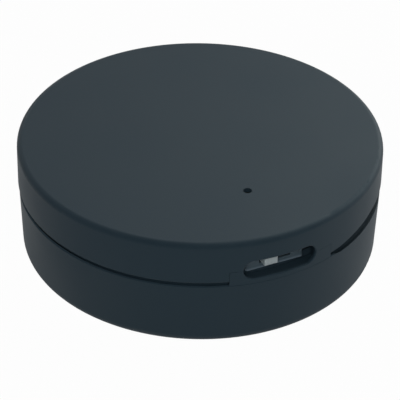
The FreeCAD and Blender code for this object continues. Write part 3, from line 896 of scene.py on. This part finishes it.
def antenna_finish():
    """White ceramic under printed silver, laid out along the bar's own length."""
    material = finish_of("antenna ceramic", antenna_ceramic, roughness=0.4)
    tree = material.node_tree
    shader = shader_of(material)
    along = axes_of(tree, object_place(tree, -antenna_turn))["X"]
    middle = inside_limit(tree, along, antenna_half_length - antenna_pad, antenna_pad_softness)
    ends = combined(tree, "SUBTRACT", 1, middle)
    winds = combined(tree, "FRACT", combined(tree, "DIVIDE", along, antenna_winds))
    line = combined(tree, "LESS_THAN", winds, antenna_line_share)
    silver = combined(tree, "MAXIMUM", line, ends)
    tree.links.new(blended(tree, silver, antenna_ceramic, antenna_silver), shader.inputs["Base Color"])
    tree.links.new(silver, shader.inputs["Metallic"])
    raised(material, silver, antenna_silver_height, strength=0.7)
    return material


dress("chip_antenna", antenna_finish())

# The supply has a coil in a pressed ferrite block, and a bulk capacitor moulded in amber epoxy with a brown
# band printed at its positive end. Both are soldered to the board.
bulk_half_length = 0.00365
bulk_band = 0.0011
bulk_band_colour = (0.12, 0.05, 0.02)
bulk_middle = Matrix.Rotation(board_turn, 4, "Z") @ Vector((0.0096, 0.0016, 0))


def bulk_finish():
    """Amber epoxy with the printed band across one end."""
    material = moulded_finish(
        "bulk resin", dark=(0.5, 0.32, 0.08), pale=(0.62, 0.42, 0.12), roughness=(0.3, 0.42),
        grains=3600.0, patches=500.0, grain_height=0.000008, gloss_level=0.5,
    )
    tree = material.node_tree
    along = axes_of(tree, object_place(tree, -board_turn, bulk_middle))["Y"]
    band_from = bulk_middle.y + bulk_half_length - bulk_band
    painted_over(material, combined(tree, "GREATER_THAN", along, band_from), bulk_band_colour)
    return material


dress("bulk_capacitor", bulk_finish())
dress("power_inductor", moulded_finish(
    "inductor ferrite", dark=(0.045, 0.045, 0.048), pale=(0.08, 0.08, 0.085), roughness=(0.5, 0.7),
    grains=2600.0, patches=700.0, grain_height=0.00002, gloss_level=0.35,
))

# The switch is a black nylon block under a folded, tinned steel frame. Its light knob slides in the frame's
# window with a bronze leaf beneath it, and three tinned legs hold it to the board.
slot_turn = math.radians(25.781)
frame_foot_height = 0.00918
# The frame's foot is painted paler: a painted highlight where its bottom edge catches light.
frame_foot_highlight_height = 0.00036
frame_foot_highlight_colour = (0.47, 0.52, 0.6)


def frame_finish():
    """The frame's dull tinned steel, painted brighter along its foot as a painted highlight."""
    material = sheet_finish(
        "switch steel", dull=(0.165, 0.2, 0.235), bright=(0.205, 0.25, 0.29), roughness=(0.6, 0.7),
        lines=4200.0, turn=-slot_turn, depth=0.000008, metal_share=0.5,
    )
    tree = material.node_tree
    height = axes_of(tree, object_place(tree))["Z"]
    # Painted highlight: a paler band along the frame's foot.
    lip = remapped(tree, height, frame_foot_height + frame_foot_highlight_height, frame_foot_height)
    painted_over(material, lip, frame_foot_highlight_colour)
    return material


dress("switch_body", moulded_finish(
    "switch plastic", dark=(0.014, 0.015, 0.017), pale=(0.022, 0.024, 0.027), roughness=(0.42, 0.56),
    grains=5000.0, patches=900.0, grain_height=0.000008, gloss_level=0.35,
))
dress("switch_cover", frame_finish())
dress("switch_knob", moulded_finish(
    "knob plastic", dark=(0.51, 0.5, 0.5), pale=(0.6, 0.59, 0.59), roughness=(0.42, 0.55),
    grains=5000.0, patches=1100.0, grain_height=0.000008, gloss_level=0.4,
))
dress("switch_wiper", sheet_finish(
    "contact bronze", dull=(0.56, 0.4, 0.2), bright=(0.74, 0.56, 0.32), roughness=(0.22, 0.36),
    lines=4200.0, turn=-slot_turn, depth=0.000006,
))
dress("switch_terminals", tin_finish)

# The status light is a small block of clear resin over phosphor. Over it stands the light guide, a turned
# rod of clear acrylic whose thin tip ends just below the pinhole's mouth.
guide_colour = (0.82, 0.86, 0.88)
guide_refraction = 1.49


def clear_finish():
    """Clear acrylic with a faintly uneven skin."""
    material = finish_of("guide acrylic", guide_colour, roughness=0.08)
    shader_of(material).inputs["Transmission Weight"].default_value = 1.0
    shader_of(material).inputs["IOR"].default_value = guide_refraction
    raised(material, skin_of(material, grains=2400.0, patches=600.0)["Grain"], depth=0.000006, strength=0.4)
    return material


dress("light_guide", clear_finish())
dress("status_light", moulded_finish(
    "light resin", dark=(0.74, 0.7, 0.46), pale=(0.84, 0.8, 0.58), roughness=(0.16, 0.28),
    grains=1200.0, patches=900.0, grain_height=0.000006, gloss_level=0.5,
))

# The lid is the upper shell, in the same black plastic as the base. Three zinc-plated pan-head screws go up
# through the board into its bosses, each with a cross recess and a rolled thread.
screw_segments = 40
screw_head_radius = 0.0014
screw_head_height = 0.0008
screw_head_round = 0.00035
screw_head_steps = 5
screw_radius = 0.0007
screw_seed = 5
thread_depth = 0.00008
thread_pitch = 0.0005
recess_half_span = 0.00084
recess_half_width = 0.000175
recess_depth = 0.00045
recess_taper = 0.62
dress("lid_shell", shell_finish)


def screw_profile(length):
    """Radius and height from the middle of the head's face to the tip, with the head down."""
    profile = [(0.0, 0.0), (screw_head_radius - screw_head_round, 0.0)]
    for step in range(1, screw_head_steps + 1):
        angle = math.pi / 2 * step / screw_head_steps
        reach = screw_head_radius - screw_head_round * (1 - math.sin(angle))
        profile.append((reach, screw_head_round * (1 - math.cos(angle))))
    profile.append((screw_head_radius, screw_head_height))
    profile.append((screw_radius, screw_head_height))
    height = screw_head_height + 2 * thread_pitch
    while height < length - thread_pitch:
        profile.append((screw_radius, height))
        profile.append((screw_radius - thread_depth, height + thread_pitch / 3))
        profile.append((screw_radius - thread_depth, height + 2 * thread_pitch / 3))
        height += thread_pitch
    profile.append((screw_radius, length - thread_pitch))
    profile.append((screw_radius - thread_depth, length))
    profile.append((0.0, length))
    return profile


def turned_screw(length):
    """The screw's mesh before its recess is cut: the profile turned round the screw's axis."""
    shape = bmesh.new()
    rings = []
    for reach, height in screw_profile(length):
        if reach == 0:
            rings.append([shape.verts.new((0, 0, height))])
            continue
        ring = []
        for index in range(screw_segments):
            turn = 2 * math.pi * index / screw_segments
            ring.append(shape.verts.new((reach * math.cos(turn), reach * math.sin(turn), height)))
        rings.append(ring)
    for below, above in zip(rings, rings[1:]):
        for index in range(screw_segments):
            after = (index + 1) % screw_segments
            if len(below) == 1:
                shape.faces.new((below[0], above[after], above[index]))
            elif len(above) == 1:
                shape.faces.new((below[index], below[after], above[0]))
            else:
                shape.faces.new((below[index], below[after], above[after], above[index]))
    mesh = bpy.data.meshes.new("screw")
    shape.to_mesh(mesh)
    shape.free()
    return mesh


def recess_cross():
    """The cutter for the recess: two bars that narrow upwards into the head."""
    cross = bmesh.new()
    for turn in (0, math.pi / 2):
        made = bmesh.ops.create_cube(cross, size=2.0)
        for vert in made["verts"]:
            share = recess_taper if vert.co.z > 0 else 1.0
            height = recess_depth if vert.co.z > 0 else -recess_depth
            along = vert.co.x * recess_half_span * share
            aside = vert.co.y * recess_half_width
            vert.co = Matrix.Rotation(turn, 3, "Z") @ Vector((along, aside, height))
    mesh = bpy.data.meshes.new("cross")
    cross.to_mesh(mesh)
    cross.free()
    return mesh


def screw_mesh(length):
    """One screw with its head down at height zero and its cross recess cut."""
    screw = placed("screw", turned_screw(length))
    cutter = placed("cross", recess_cross())
    cut = screw.modifiers.new("recess", "BOOLEAN")
    cut.operation = "DIFFERENCE"
    cut.solver = "EXACT"
    cut.use_self = True
    cut.object = cutter
    depsgraph = bpy.context.evaluated_depsgraph_get()
    made = bpy.data.meshes.new_from_object(screw.evaluated_get(depsgraph))
    bpy.data.objects.remove(screw)
    bpy.data.objects.remove(cutter)
    made.shade_smooth()
    made.set_sharp_from_angle(angle=math.radians(35))
    return made


def board_screws():
    """The three screws, standing where the frame has them."""
    places = []
    length = 0
    for corners in solids_in("board_screws"):
        across = [corner.x for corner in corners]
        along = [corner.y for corner in corners]
        upright = [corner.z for corner in corners]
        middle_x = (min(across) + max(across)) / 2
        middle_y = (min(along) + max(along)) / 2
        places.append((middle_x, middle_y, min(upright)))
        length = max(upright) - min(upright)
    seeded = random.Random(screw_seed)
    turns = [seeded.uniform(0, math.pi) for place in places]
    screw_finish = sheet_finish(
        "screw steel", dull=(0.32, 0.32, 0.33), bright=(0.48, 0.48, 0.49), roughness=(0.3, 0.45),
        lines=2600.0, turn=0.4, depth=0.000008,
    )
    piece = set_on_points("pan_head_screws", screw_mesh(length), places, turns, screw_finish, screw_finish)
    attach(piece, "upper")
    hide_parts("board_screws")


board_screws()
